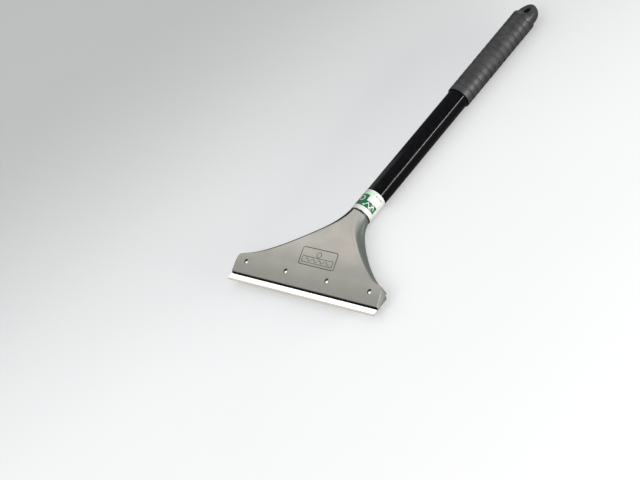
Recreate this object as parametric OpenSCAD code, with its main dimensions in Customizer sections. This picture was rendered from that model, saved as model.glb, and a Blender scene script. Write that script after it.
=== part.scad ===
// Wide-blade scraper with a die-cast head, a clamped blade and a short tube handle.
// The tool lies on its back: X runs along the blade, +Y up the handle, +Z out of the head's front face.
// Inside the modules y is measured up the handle from the head's lip, and z from the handle's axis.

/* [Blade] */
// Length of the blade, which is also the width of the head's lip
blade_length = 203; // [150:1:250]
// Width of the blade from its edge to its back
blade_width = 24; // [22:0.5:25]
// Thickness of the blade
blade_thickness = 1; // [0.8:0.1:1.2]
// How far the blade's edge stands out below the lip
blade_exposed = 8; // [7:0.5:9]
// Width of the ground bevel along the edge
blade_bevel = 1.6; // [1:0.1:2.5]

/* [Head] */
// Distance from the lip to the end of the neck
head_height = 94.9; // [85:0.1:110]
// Radius of the rounded front edge
edge_radius = 4; // [2:0.5:5]
// Radius of the front edge along the end walls
end_radius = 0.9; // [0.5:0.1:3]
// Thickness of the lip, in front of the blade
lip_thickness = 2.2; // [1.5:0.1:3]
// Wall and skin thickness of the hollow back
wall = 3; // [2.5:0.5:4]
// Engraved line width of the emblem frame
emblem_line = 0.8; // [0.5:0.1:1.2]

/* [Clamp] */
// Distance between neighbouring screws
screw_pitch = 57; // [45:0.5:60]
// Nominal screw diameter
screw_d = 4; // [4:1:5]
// Thread pitch of the screws
thread_pitch = 0.7; // [0.7:0.1:0.8]
// Thickness of the clamp plate
plate_thickness = 3; // [2:0.5:4]
// Width of the clamp plate
plate_width = 14; // [10:0.5:16]

/* [Handle] */
// Outside diameter of the tube
tube_d = 22.2; // [20:0.1:25.4]
// Wall thickness of the tube
tube_wall = 1.3; // [1:0.1:1.6]
// Length of the tube
tube_length = 280; // [200:5:1200]
// Length of the label band
label_length = 25; // [20:1:40]
// Length of the rubber grip
grip_length = 112; // [80:8:160]
// Radius of the hanging hole
hang_hole_r = 4; // [3:0.5:5]

/* [Hidden] */
$fn = 64;

// Levels along z, from the handle's axis
lip_z = -1.2;                              // front of the lip
seat_z = lip_z - lip_thickness;            // the blade lies against this face
plate_z = seat_z - blade_thickness;        // the clamp plate lies against the blade's back
washer_h = 1.1;
screw_head_h = 2.8;
plate_back_z = plate_z - plate_thickness;
washer_back_z = plate_back_z - washer_h;
screw_back_z = washer_back_z - screw_head_h;
tube_r = tube_d / 2;
grip_r = tube_r + 1.4;
floor_z = -grip_r;                         // lowest level of the tool as it lies

// Stations along y, from the lip
screw_y = 11.2;
blade_back_y = blade_width - blade_exposed;     // the blade's back bears on a step in the head
shoulder_y = 18;                           // top of the head's end walls
bush_flange = 1.8;
tube_y = head_height + bush_flange;
tube_end_y = tube_y + tube_length;
cap_length = 26;
total_y = blade_exposed + tube_end_y + cap_length;
centre_y = total_y / 2 - blade_exposed;    // middle of the tool's length

// Fits
spigot_r = 8.2;
spigot_length = 44;
bush_length = 40;
bore_r = tube_r - tube_wall;
rivet_y = tube_y + 32;
rivet_r = 1.6;
screw_r = screw_d / 2;
tapped_r = screw_r + 0.06;                 // running fit of the thread, drawn plain
clear_r = screw_r + 0.3;                   // clearance holes in blade, plate and washers
screw_tip_z = 3.6;                         // the tip stays just inside the front face

// Middle value of a cubic Bezier curve with its four control values in c
function bezier(c, u) = pow(1 - u, 3) * c[0] + 3 * pow(1 - u, 2) * u * c[1]
                      + 3 * (1 - u) * u * u * c[2] + pow(u, 3) * c[3];

// Smaller of a and b, with a soft change-over about k wide
function soft_min(a, b, k) = min(a, b) - pow(max(k - abs(a - b), 0), 2) / (4 * k);
// 0 below a, 1 above b, with a smooth rise between
function rise(a, b, v) = let (t = min(max((v - a) / (b - a), 0), 1)) t * t * (3 - 2 * t);
function mix(a, b, t) = a + (b - a) * t;

// Head outline in plan, right half, from the lip to the neck: end wall, rounded shoulder, concave flank
half_lip = blade_length / 2;
end_taper = 0.8;                           // how far each end wall leans in by the shoulder
end_wall = [for (t = [0, 0.5, 1]) [half_lip - end_taper * t, (shoulder_y - 3.5) * t]];
shoulder = [for (u = [0.2:0.2:0.8])
    [bezier([half_lip - end_taper, half_lip - 1.4, half_lip - 3, half_lip - 7], u),
     bezier([shoulder_y - 3.5, shoulder_y - 0.2, shoulder_y + 0.9, shoulder_y + 2], u)]];
flank = [for (i = [0:14])
    [bezier([half_lip - 7, 72, tube_r + 7, tube_r], i / 14),
     bezier([shoulder_y + 2, 28, 65, head_height], i / 14)]];
outline = concat(end_wall, shoulder, flank);
last = len(outline) - 1;

// Sideways part of the outline's normal at point i, 1 where the outline runs straight up
function normal_x(i) = let (d = outline[min(i + 1, last)] - outline[max(i - 1, 0)]) abs(d.y) / norm(d);

// Front face in side view: a steep band behind the lip, a soft crease, then a gentle rise to the neck
band_slope = 0.543;
rise_slope = 0.0513;
function front_z(y) = soft_min(lip_z + band_slope * y, tube_r - rise_slope * (head_height - y), 4);
// Rim of the hollow back in side view
rim_z = -3.8;
function back_z(y) = mix(rim_z, -tube_r, y / head_height);

// Cross-section of the head at outline point i: a rounded trapezium that turns into the neck's circle
end_draft = 0.3;                           // how far the end walls spread from front to back
flank_draft = 2;                           // how far the flanks spread
back_radius = 1;
front_steps = 7;
back_steps = 3;
function section(i) =
    let (y = outline[i].y,
         half = outline[i].x,
         to_neck = rise(50, head_height, y),
         side = min(1 / normal_x(i), 2.6),
         front = front_z(y),
         back = back_z(y),
         draft = mix(mix(end_draft, flank_draft, rise(12, 24, y)) * side, 0, rise(70, head_height, y)),
         edge = mix(end_radius, edge_radius, rise(15, 30, y)),
         front_h = mix(min(edge, (front - seat_z) * 0.45), tube_r, to_neck),
         front_w = mix(front_h * side, tube_r, to_neck),
         back_h = mix(back_radius, tube_r, to_neck),
         back_w = mix(back_radius, tube_r, to_neck),
         right = concat(
             [for (a = [90:-90 / front_steps:0])
                 [half - draft - front_w * (1 - cos(a)), y, front - front_h * (1 - sin(a))]],
             [for (a = [0:-90 / back_steps:-90])
                 [half - back_w * (1 - cos(a)), y, back + back_h * (1 + sin(a))]]))
    concat(right, [for (k = [len(right) - 1:-1:0]) [-right[k].x, right[k].y, right[k].z]]);

// Solid skinned over a list of sections that all have the same number of points
module skin(sections) {
    n = len(sections[0]);
    m = len(sections);
    sides = [for (i = [0:m - 2]) for (k = [0:n - 1])
        each [[i * n + k, (i + 1) * n + k, i * n + (k + 1) % n],
              [i * n + (k + 1) % n, (i + 1) * n + k, (i + 1) * n + (k + 1) % n]]];
    first_end = [for (k = [0:n - 1]) k];
    last_end = [for (k = [n - 1:-1:0]) (m - 1) * n + k];
    polyhedron(points = [for (s = sections) each s], faces = concat(sides, [first_end, last_end]));
}

// Cylinder along +Y from y0 to y1
module along_y(r, y0, y1) {
    translate([0, y0, 0]) rotate([-90, 0, 0]) cylinder(r = r, h = y1 - y0);
}

// Ring turned about the Y axis from an outline of [radius, y] points
module turned(points) {
    rotate([90, 0, 0]) mirror([0, 0, 1]) rotate_extrude() polygon(points);
}

// Puts the lip's place on the y scale and the axis's height into the tool's own frame
module in_place() {
    translate([0, -centre_y, -floor_z]) children();
}

// The four screw positions, or only one of them
module at_screw(n) {
    translate([(n - 2.5) * screw_pitch, screw_y, 0]) children();
}

// Rounded rectangle, centred
module rounded(w, h, r) {
    hull() for (x = [-1, 1]) for (y = [-1, 1])
        translate([x * (w / 2 - r), y * (h / 2 - r)]) circle(r = r, $fn = 32);
}

pocket_y0 = blade_back_y + 6;
pocket_y1 = 82;
rib_w = 3;
// Hollow of the head's back: straight walls in plan, a roof that follows the front face
module pocket() {
    plan = [for (i = [0:last]) if (outline[i].y > pocket_y0 - 4 && outline[i].y < pocket_y1 + 4)
        [max(outline[i].x - (wall + flank_draft) / normal_x(i), 3), outline[i].y]];
    intersection() {
        translate([0, 0, -tube_d]) linear_extrude(2 * tube_d)
            polygon(concat(plan, [for (k = [len(plan) - 1:-1:0]) [-plan[k].x, plan[k].y]]));
        rotate([90, 0, 90]) linear_extrude(blade_length, center = true)
            polygon(concat([[pocket_y1, -tube_d], [pocket_y0, -tube_d]],
                [for (t = [0:0.25:1]) let (y = mix(pocket_y0, pocket_y1, t)) [y, front_z(y) - wall]]));
    }
}

// Ribs that stay between the pockets: one up the middle and one towards each inner screw
module ribs() {
    translate([-rib_w / 2, pocket_y0 - 1, -tube_d]) cube([rib_w, pocket_y1 - pocket_y0 + 2, 2 * tube_d]);
    for (side = [-1, 1])
        translate([0, pocket_y1 + 4, 0]) rotate([0, 0, side * 42])
            translate([-rib_w / 2, -90, -tube_d]) cube([rib_w, 90, 2 * tube_d]);
}

emblem_w = 49;
emblem_h = 20.6;
emblem_x = 2;
emblem_y = 31.5;
emblem_slant = 0.41;                       // sideways lean of the emblem for each unit of its height
emblem_depth = 0.4;
inner_line = 0.6;
// Engraved emblem: a slanting frame that holds a bar with a wave line in it, and a ring above the bar
module emblem() {
    bar = [42, 7.2];
    bar_y = -3.7;
    ring_y = 3.6;
    ring_r = 3.3;
    translate([emblem_x, emblem_y, front_z(emblem_y) - emblem_depth]) rotate([atan(rise_slope), 0, 0])
        multmatrix([[1, -emblem_slant, 0, 0], [0, 1, 0, 0], [0, 0, 1, 0], [0, 0, 0, 1]])
            linear_extrude(3) {
                outline_of(emblem_line) rounded(emblem_w, emblem_h, 3);
                translate([0, bar_y]) outline_of(inner_line) rounded(bar[0], bar[1], 0.8);
                translate([0, bar_y]) wave_line();
                translate([0, ring_y]) outline_of(inner_line) circle(r = ring_r);
            }
}

// Line of the given width just inside a flat shape's edge
module outline_of(line) {
    difference() {
        children();
        offset(delta = -line) children();
    }
}

// Level wave of the emblem
module wave_line() {
    reach = 17;
    swing = 1.5;
    waves = 4;
    steps = 48;
    polygon([for (side = [-1, 1]) for (k = [0:steps])
        let (t = side > 0 ? 1 - k / steps : k / steps)
            [reach * (2 * t - 1), swing * sin(360 * waves * t) + side * inner_line / 2]]);
}

// Slope under each end of the head, from the seat's end at the lip up to the shoulder
module end_reliefs() {
    size = 60;
    for (side = [0, 1]) mirror([side, 0, 0])
        translate([half_lip, 0, seat_z]) rotate([0, 140.6, 14])
            translate([-size / 2, -size / 2, 0]) cube(size);
}

// Die-cast head with its spigot, which enters the tube
module head_casting() {
    color("darkgray") in_place() difference() {
        union() {
            skin([for (i = [0:last]) section(i)]);
            along_y(spigot_r, head_height - 1, head_height + spigot_length);
        }
        translate([-blade_length, -1, seat_z - tube_d]) cube([2 * blade_length, blade_back_y + 1.05, tube_d]);
        difference() {
            pocket();
            ribs();
        }
        end_reliefs();
        for (n = [1:4]) at_screw(n) translate([0, 0, -tube_d]) cylinder(r = tapped_r, h = 2 * tube_d);
        translate([0, rivet_y, -tube_r]) cylinder(r = rivet_r + 0.03, h = tube_r - 4);
        emblem();
    }
}

// Single-edged blade, ground on its front face, with its back corners cut off
module blade() {
    edge = 0.2;                            // thickness left at the edge
    corner = 3;
    y0 = -blade_exposed;
    color("whitesmoke") in_place() difference() {
        rotate([90, 0, 90]) linear_extrude(blade_length, center = true)
            polygon([[y0, plate_z], [blade_back_y, plate_z], [blade_back_y, seat_z],
                     [y0 + blade_bevel, seat_z], [y0, plate_z + edge]]);
        for (side = [-1, 1]) translate([side * half_lip, blade_back_y, plate_z])
            rotate([0, 0, 45]) cube([corner * sqrt(2), corner * sqrt(2), tube_d], center = true);
        for (n = [1:4]) at_screw(n) translate([0, 0, -tube_d]) cylinder(r = clear_r, h = 2 * tube_d);
    }
}

plate_inset = 4;                           // the plate is this much shorter than the blade at each end
plate_y = blade_back_y - 0.5 - plate_width / 2;
// Steel bar that clamps the blade
module clamp_plate() {
    color("silver") in_place() difference() {
        translate([0, plate_y, plate_back_z]) linear_extrude(plate_thickness)
            rounded(blade_length - 2 * plate_inset, plate_width, 3);
        for (n = [1:4]) at_screw(n) translate([0, 0, -tube_d]) cylinder(r = clear_r, h = 2 * tube_d);
    }
}

screw_head_r = 4;
recess_length = 4.4;
recess_w = 0.9;
recess_depth = 1.3;
// Pan-head screw with a cross recess, its head towards -Z
module clamp_screw(n) {
    round_r = 1.4;
    chamfer = 0.5;
    color("lightgray") in_place() at_screw(n) difference() {
        rotate_extrude() polygon(concat(
            [[0, screw_back_z]],
            [for (a = [0:15:90])
                [screw_head_r - round_r * (1 - sin(a)), screw_back_z + round_r * (1 - cos(a))]],
            [[screw_head_r, washer_back_z], [screw_r, washer_back_z],
             [screw_r, screw_tip_z - chamfer], [screw_r - chamfer, screw_tip_z], [0, screw_tip_z]]));
        for (a = [0, 90]) translate([0, 0, screw_back_z]) rotate([0, 0, a])
            cube([recess_length, recess_w, 2 * recess_depth], center = true);
    }
}

// Split spring washer
module lock_washer(n) {
    washer_r = 3.7;
    slit = 0.7;
    color("lightgray") in_place() at_screw(n) translate([0, 0, washer_back_z]) difference() {
        cylinder(r = washer_r, h = washer_h);
        translate([0, 0, -1]) cylinder(r = clear_r, h = washer_h + 2);
        rotate([0, 0, n * 75]) translate([0, -slit / 2, -1]) cube([washer_r + 1, slit, washer_h + 2]);
    }
}

// Clears the rivet's shank in the parts that it passes through
module rivet_hole() {
    translate([0, rivet_y, -2 * tube_r]) cylinder(r = rivet_r + 0.03, h = 2 * tube_r - 4);
}

// Plastic bush between spigot and tube, with a thin flange that shows at the neck
module neck_bush() {
    gap = 0.04;
    color([0.08, 0.08, 0.08]) in_place() difference() {
        turned([[spigot_r + gap, head_height], [tube_r, head_height], [tube_r, tube_y],
                [bore_r - gap, tube_y], [bore_r - gap, head_height + bush_length],
                [spigot_r + gap, head_height + bush_length]]);
        rivet_hole();
    }
}

// Round tube of the handle
module handle_tube() {
    color([0.06, 0.06, 0.07]) in_place() difference() {
        along_y(tube_r, tube_y, tube_end_y);
        along_y(bore_r, tube_y - 1, tube_end_y + 1);
        rivet_hole();
    }
}

// Thin white band round the tube, with no lettering
module label_sleeve() {
    color("white") in_place() difference() {
        along_y(tube_r + 0.2, tube_y, tube_y + label_length);
        along_y(tube_r + 0.02, tube_y - 1, tube_y + label_length + 1);
    }
}

// Blind rivet on the handle's underside
module tube_rivet() {
    rivet_head_r = 3.2;
    rivet_head_h = 1;
    color("silver") in_place() translate([0, rivet_y, 0]) difference() {
        union() {
            translate([0, 0, -tube_r - 0.1]) mirror([0, 0, 1]) cylinder(r = rivet_head_r, h = rivet_head_h);
            translate([0, 0, -tube_r - 0.5]) cylinder(r = rivet_r, h = tube_r - 4);
        }
        translate([0, 0, -tube_r - 2]) cylinder(r = 0.6, h = 3);
    }
}

rib_pitch = 8;
groove_w = 2.4;
groove_depth = 0.8;
// Rubber grip with evenly spaced grooves
module hand_grip() {
    y0 = tube_end_y - grip_length;
    grooves = floor(grip_length / rib_pitch) - 1;
    chamfer = 0.8;
    color([0.1, 0.1, 0.1]) in_place() turned(concat(
        [[tube_r + 0.05, y0], [grip_r - chamfer, y0], [grip_r, y0 + chamfer]],
        [for (k = [1:grooves]) let (y = y0 + k * rib_pitch)
            each [[grip_r, y - groove_w / 2], [grip_r - groove_depth, y - groove_w / 4],
                  [grip_r - groove_depth, y + groove_w / 4], [grip_r, y + groove_w / 2]]],
        [[grip_r, tube_end_y], [tube_r + 0.05, tube_end_y]]));
}

plug_length = 20;
tab_thickness = 9;
hang_hole_y = tube_end_y + cap_length - 11;
// Plastic end cap: a plug inside the tube, and a domed end with flats and a hanging hole
module end_cap() {
    plug_r = bore_r - 0.05;
    collar = 6;
    dome = cap_length - collar;
    color([0.07, 0.07, 0.07]) in_place() difference() {
        turned(concat(
            [[0, tube_end_y - plug_length], [plug_r - 1, tube_end_y - plug_length],
             [plug_r, tube_end_y - plug_length + 1], [plug_r, tube_end_y], [grip_r, tube_end_y],
             [grip_r, tube_end_y + collar]],
            [for (a = [10:10:90]) [grip_r * cos(a), tube_end_y + collar + dome * sin(a)]]));
        for (side = [0, 1]) mirror([0, 0, side])
            translate([-tube_d, tube_end_y + collar, tab_thickness / 2]) cube([2 * tube_d, cap_length, tube_d]);
        translate([0, hang_hole_y, -tube_d]) cylinder(r = hang_hole_r, h = 2 * tube_d);
    }
}

head_casting();
blade();
clamp_plate();
clamp_screw(1);  // clamp_screw_1
clamp_screw(2);  // clamp_screw_2
clamp_screw(3);  // clamp_screw_3
clamp_screw(4);  // clamp_screw_4
lock_washer(1);  // lock_washer_1
lock_washer(2);  // lock_washer_2
lock_washer(3);  // lock_washer_3
lock_washer(4);  // lock_washer_4
neck_bush();
handle_tube();
label_sleeve();
tube_rivet();
hand_grip();
end_cap();
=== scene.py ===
import math
import bmesh
import bpy
from mathutils import Matrix, Vector


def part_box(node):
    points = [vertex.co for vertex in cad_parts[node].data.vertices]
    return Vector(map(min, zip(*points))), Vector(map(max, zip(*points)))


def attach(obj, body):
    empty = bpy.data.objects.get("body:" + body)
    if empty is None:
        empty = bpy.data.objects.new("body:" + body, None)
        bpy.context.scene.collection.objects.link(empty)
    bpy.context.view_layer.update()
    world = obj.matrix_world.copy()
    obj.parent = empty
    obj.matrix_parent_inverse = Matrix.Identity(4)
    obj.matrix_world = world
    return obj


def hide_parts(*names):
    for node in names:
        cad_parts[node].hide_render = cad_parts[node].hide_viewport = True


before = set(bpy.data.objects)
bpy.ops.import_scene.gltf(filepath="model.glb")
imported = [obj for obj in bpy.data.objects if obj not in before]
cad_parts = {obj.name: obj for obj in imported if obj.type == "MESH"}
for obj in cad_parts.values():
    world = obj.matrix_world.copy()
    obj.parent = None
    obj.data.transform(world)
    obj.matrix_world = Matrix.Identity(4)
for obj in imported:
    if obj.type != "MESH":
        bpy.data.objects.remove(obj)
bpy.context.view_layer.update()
print("frame loaded:", len(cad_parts), "nodes")

# Lengths below are in millimetres: x along the blade, y up the handle from the lip, z from the handle's axis
mm = 0.001
headLow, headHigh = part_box("head_casting")
tubeLow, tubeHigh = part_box("handle_tube")
lipY = headLow.y
axisZ = (tubeLow.z + tubeHigh.z) / 2
tubeRadius = (tubeHigh.x - tubeLow.x) / 2 / mm
tubeStart = (tubeLow.y - lipY) / mm
tubeEnd = (tubeHigh.y - lipY) / mm
toTool = Matrix.Translation((0, lipY, axisZ)) @ Matrix.Scale(mm, 4)
upHandle = Matrix.Rotation(-math.pi / 2, 4, "X")      # turns a piece made round Z to stand along the handle


def middleOf(node):
    low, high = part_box(node)
    return (low.x + high.x) / 2 / mm, ((low.y + high.y) / 2 - lipY) / mm


def levelsOf(node):
    low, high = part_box(node)
    return (low.z - axisZ) / mm, (high.z - axisZ) / mm


def mix(a, b, t):
    return a + (b - a) * t


def rise(a, b, v):
    t = min(max((v - a) / (b - a), 0), 1)
    return t * t * (3 - 2 * t)


def bezier(c, u):
    return (1 - u) ** 3 * c[0] + 3 * (1 - u) ** 2 * u * c[1] + 3 * (1 - u) * u * u * c[2] + u ** 3 * c[3]


def circle(radius, steps, cx=0, cy=0):
    turns = [k * math.pi / (steps // 2) for k in range(steps)]
    return [(cx + radius * math.cos(a), cy + radius * math.sin(a)) for a in turns]


# Mesh tools

def newObject(name, points, faces):
    mesh = bpy.data.meshes.new(name)
    mesh.from_pydata([Vector(p) for p in points], [], faces)
    mesh.update()
    obj = bpy.data.objects.new(name, mesh)
    bpy.context.scene.collection.objects.link(obj)
    return obj


def applyStack(obj, *helpers):
    bpy.context.view_layer.update()
    graph = bpy.context.evaluated_depsgraph_get()
    mesh = bpy.data.meshes.new_from_object(obj.evaluated_get(graph))
    obj.modifiers.clear()
    obj.data = mesh
    mesh.name = obj.name
    for helper in helpers:
        bpy.data.objects.remove(helper)
    return obj


def putInPlace(obj, matrix=Matrix.Identity(4)):
    obj.data.transform(toTool @ matrix)
    obj.data.update()
    return obj


def softShade(obj, degrees=32):
    for face in obj.data.polygons:
        face.use_smooth = True
    obj.data.set_sharp_from_angle(angle=math.radians(degrees))
    return obj


def cut(obj, cutter, operation="DIFFERENCE"):
    boolean = obj.modifiers.new("cut", "BOOLEAN")
    boolean.operation = operation
    boolean.solver = "EXACT"
    boolean.material_mode = "TRANSFER"
    boolean.object = cutter
    return applyStack(obj, cutter)


def subdivide(obj, levels):
    smooth = obj.modifiers.new("smooth", "SUBSURF")
    smooth.levels = levels
    smooth.render_levels = levels


def bevelEdges(obj, width, segments=2, degrees=40):
    bevel = obj.modifiers.new("bevel", "BEVEL")
    bevel.width = width
    bevel.segments = segments
    bevel.limit_method = "ANGLE"
    bevel.angle_limit = math.radians(degrees)
    bevel.use_clamp_overlap = True


def joined(name, objects):
    mesh = bpy.data.meshes.new(name)
    build = bmesh.new()
    for obj in objects:
        build.from_mesh(obj.data)
        bpy.data.objects.remove(obj)
    build.to_mesh(mesh)
    build.free()
    obj = bpy.data.objects.new(name, mesh)
    bpy.context.scene.collection.objects.link(obj)
    return obj


def faceOutwards(obj, merge=0.0005):
    build = bmesh.new()
    build.from_mesh(obj.data)
    bmesh.ops.remove_doubles(build, verts=build.verts, dist=merge)
    bmesh.ops.recalc_face_normals(build, faces=build.faces)
    build.to_mesh(obj.data)
    build.free()
    return obj


# Closed solid through rings that all have the same number of points
def ringSolid(name, rings):
    count = len(rings[0])
    faces = []
    for i in range(len(rings) - 1):
        for k in range(count):
            n = (k + 1) % count
            faces.append((i * count + k, i * count + n, (i + 1) * count + n, (i + 1) * count + k))
    faces.append(tuple(range(count - 1, -1, -1)))
    faces.append(tuple((len(rings) - 1) * count + k for k in range(count)))
    return faceOutwards(newObject(name, [p for ring in rings for p in ring], faces))


def boxSolid(name, low, high):
    def ring(z):
        return [(low[0], low[1], z), (high[0], low[1], z), (high[0], high[1], z), (low[0], high[1], z)]
    return ringSolid(name, [ring(low[2]), ring(high[2])])


# Turned shape from [radius, height] points, which run from its top to its bottom
def turned(name, profile, steps=64, closed=False):
    edges = [(i, i + 1) for i in range(len(profile) - 1)]
    if closed:
        edges.append((len(profile) - 1, 0))
    mesh = bpy.data.meshes.new(name)
    mesh.from_pydata([(r, 0, h) for r, h in profile], edges, [])
    obj = bpy.data.objects.new(name, mesh)
    bpy.context.scene.collection.objects.link(obj)
    lathe = obj.modifiers.new("lathe", "SCREW")
    lathe.axis = "Z"
    lathe.steps = steps
    lathe.render_steps = steps
    lathe.use_merge_vertices = True
    lathe.merge_threshold = 0.0005
    applyStack(obj)
    return faceOutwards(obj)


# Closed profile or plan with rounded corners: radius is the largest round, cut back where a side is short
def roundedPlan(corners, radius, steps=4, sharp=20):
    out = []
    count = len(corners)
    for i in range(count):
        before, here, after = (Vector(corners[(i + d) % count]) for d in (-1, 0, 1))
        a, b = before - here, after - here
        turn = math.pi - a.angle(b)
        if turn < math.radians(sharp):
            out.append(tuple(here))
            continue
        back = min(radius * math.tan(turn / 2), 0.45 * a.length, 0.45 * b.length)
        start, end = here + a.normalized() * back, here + b.normalized() * back
        for k in range(steps + 1):
            u = k / steps
            out.append(tuple(start * (1 - u) ** 2 + here * 2 * u * (1 - u) + end * u * u))
    return out


def inset(plan, distance):
    out = []
    count = len(plan)
    for i in range(count):
        before, here, after = (Vector(plan[(i + d) % count]) for d in (-1, 0, 1))
        a, b = (here - before).normalized(), (after - here).normalized()
        normal = Vector((-(a.y + b.y), a.x + b.x)).normalized()
        side = max(normal.dot(Vector((-a.y, a.x))), 0.4)
        out.append(tuple(here + normal * distance / side))
    return out


# Material tools

def addNode(tree, kind, inputs=None, **settings):
    node = tree.nodes.new(kind)
    for name, value in settings.items():
        setattr(node, name, value)
    for name, value in (inputs or {}).items():
        if isinstance(value, bpy.types.NodeSocket):
            tree.links.new(value, node.inputs[name])
        else:
            node.inputs[name].default_value = value
    return node


def calc(tree, operation, a, b=0.0, clamp=False):
    return addNode(tree, "ShaderNodeMath", {0: a, 1: b}, operation=operation, use_clamp=clamp).outputs[0]


def blendColour(tree, amount, a, b, blendType="MIX"):
    node = addNode(tree, "ShaderNodeMix", {0: amount, 6: a, 7: b}, data_type="RGBA", blend_type=blendType)
    return node.outputs[2]


def spread(tree, value, low, high, toLow=0.0, toHigh=1.0):
    inputs = {"Value": value, "From Min": low, "From Max": high, "To Min": toLow, "To Max": toHigh}
    return addNode(tree, "ShaderNodeMapRange", inputs, interpolation_type="SMOOTHSTEP").outputs["Result"]


def between(tree, value, low, high):
    above = calc(tree, "GREATER_THAN", value, low)
    return calc(tree, "MULTIPLY", above, calc(tree, "LESS_THAN", value, high))


def newGroup(name, inputs, outputs):
    tree = bpy.data.node_groups.new(name, "ShaderNodeTree")
    for socketName, kind, value in inputs:
        socket = tree.interface.new_socket(socketName, in_out="INPUT", socket_type=kind)
        socket.default_value = value
    for socketName, kind in outputs:
        tree.interface.new_socket(socketName, in_out="OUTPUT", socket_type=kind)
    return tree, tree.nodes.new("NodeGroupInput").outputs, tree.nodes.new("NodeGroupOutput").inputs


def objectPoint(tree, stretch):
    place = addNode(tree, "ShaderNodeTexCoord").outputs["Object"]
    return addNode(tree, "ShaderNodeMapping", {"Vector": place, "Scale": stretch}).outputs["Vector"]


def axisOf(tree, vector, axis):
    return addNode(tree, "ShaderNodeSeparateXYZ", {"Vector": vector}).outputs[axis]


def facing(tree, axis):
    return axisOf(tree, addNode(tree, "ShaderNodeNewGeometry").outputs["Normal"], axis)


def placeAlong(tree, axis):
    return axisOf(tree, objectPoint(tree, (1, 1, 1)), axis)


floatSocket = "NodeSocketFloat"
vectorSocket = "NodeSocketVector"


# Fine grain for a bump, broad mottling, and scattered pits
def makeGrainGroup():
    tree, given, out = newGroup(
        "surfaceGrain",
        [("Stretch", vectorSocket, (1, 1, 1)), ("Grain Scale", floatSocket, 1500.0),
         ("Mottle Scale", floatSocket, 40.0), ("Pit Scale", floatSocket, 500.0)],
        [("Height", floatSocket), ("Mottle", floatSocket), ("Pits", floatSocket)])
    point = objectPoint(tree, given["Stretch"])
    grain = addNode(tree, "ShaderNodeTexNoise",
                    {"Vector": point, "Scale": given["Grain Scale"], "Detail": 3.0, "Roughness": 0.6})
    mottle = addNode(tree, "ShaderNodeTexNoise",
                     {"Vector": point, "Scale": given["Mottle Scale"], "Detail": 5.0, "Roughness": 0.62})
    pit = addNode(tree, "ShaderNodeTexVoronoi", {"Vector": point, "Scale": given["Pit Scale"]})
    tree.links.new(grain.outputs["Fac"], out["Height"])
    tree.links.new(spread(tree, mottle.outputs["Fac"], 0.3, 0.7), out["Mottle"])
    tree.links.new(spread(tree, pit.outputs["Distance"], 0.22, 0.08), out["Pits"])
    return tree


# Where the surface turns from facing the front to facing sideways, and the rounded edge between them
def makeTurnGroup():
    tree, given, out = newGroup(
        "turnOfForm", [("Front Level", floatSocket, 0.8), ("Side Level", floatSocket, 0.3)],
        [("Side", floatSocket), ("Edge", floatSocket)])
    up = facing(tree, "Z")
    side = calc(tree, "MULTIPLY", spread(tree, up, given["Front Level"], given["Side Level"]),
                spread(tree, up, -0.7, -0.3))
    tree.links.new(side, out["Side"])
    rising = spread(tree, up, 0.1, 0.55)
    falling = spread(tree, up, 0.95, 0.7)
    tree.links.new(calc(tree, "MULTIPLY", rising, falling), out["Edge"])
    return tree


# Thin uneven dust, which settles on faces that look up
def makeDustGroup():
    tree, given, out = newGroup("settledDust", [("Amount", floatSocket, 0.2), ("Scale", floatSocket, 90.0)],
                                [("Dust", floatSocket), ("Smear", floatSocket)])
    up = spread(tree, facing(tree, "Z"), -0.2, 0.9)
    point = objectPoint(tree, (1, 1, 1))
    cloud = addNode(tree, "ShaderNodeTexNoise",
                    {"Vector": point, "Scale": given["Scale"], "Detail": 6.0, "Roughness": 0.7})
    smear = addNode(tree, "ShaderNodeTexNoise",
                    {"Vector": objectPoint(tree, (30, 6, 30)), "Scale": 4.0, "Detail": 3.0})
    dust = calc(tree, "MULTIPLY", spread(tree, cloud.outputs["Fac"], 0.42, 0.78), up)
    tree.links.new(calc(tree, "MULTIPLY", dust, given["Amount"]), out["Dust"])
    tree.links.new(spread(tree, smear.outputs["Fac"], 0.35, 0.7), out["Smear"])
    return tree


surfaceGrain = makeGrainGroup()
turnOfForm = makeTurnGroup()
settledDust = makeDustGroup()


# Turns grainScale into Grain Scale
def socketCalled(name):
    words = "".join(" " + letter if letter.isupper() else letter for letter in name)
    return (words[0].upper() + words[1:]).replace("I O R", "IOR")


def useGroup(tree, group, **values):
    node = addNode(tree, "ShaderNodeGroup", node_tree=group)
    for name, value in values.items():
        node.inputs[socketCalled(name)].default_value = value
    return node.outputs


def newMaterial(name, **constants):
    material = bpy.data.materials.new(name)
    material.use_nodes = True
    shader = material.node_tree.nodes["Principled BSDF"]
    for constant, value in constants.items():
        shader.inputs[socketCalled(constant)].default_value = value
    return material, material.node_tree, shader


def bump(tree, shader, height, strength, distance):
    node = addNode(tree, "ShaderNodeBump", {"Height": height, "Strength": strength, "Distance": distance})
    tree.links.new(node.outputs["Normal"], shader.inputs["Normal"])


def feed(tree, shader, **sources):
    for name, source in sources.items():
        tree.links.new(source, shader.inputs[socketCalled(name)])


# Cast tones: front and cool are the casting's own mottled colour and pit its pits; band, side, end, lip and
# left are painted shade, and the lighter edge tone is a painted highlight with a little wear
castFinish = {"front": (0.385, 0.355, 0.315, 1), "cool": (0.345, 0.33, 0.30, 1),
              "band": (0.215, 0.215, 0.19, 1), "side": (0.08, 0.095, 0.085, 1), "end": (0.16, 0.17, 0.15, 1),
              "lip": (0.004, 0.006, 0.004, 1), "left": (0.004, 0.005, 0.004, 1),
              "worn": (0.50, 0.49, 0.46, 1), "pit": (0.12, 0.12, 0.11, 1), "metallic": 0.5,
              "bandAt": (0.050, 0.014), "endAt": (0.020, 0.014)}
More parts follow.
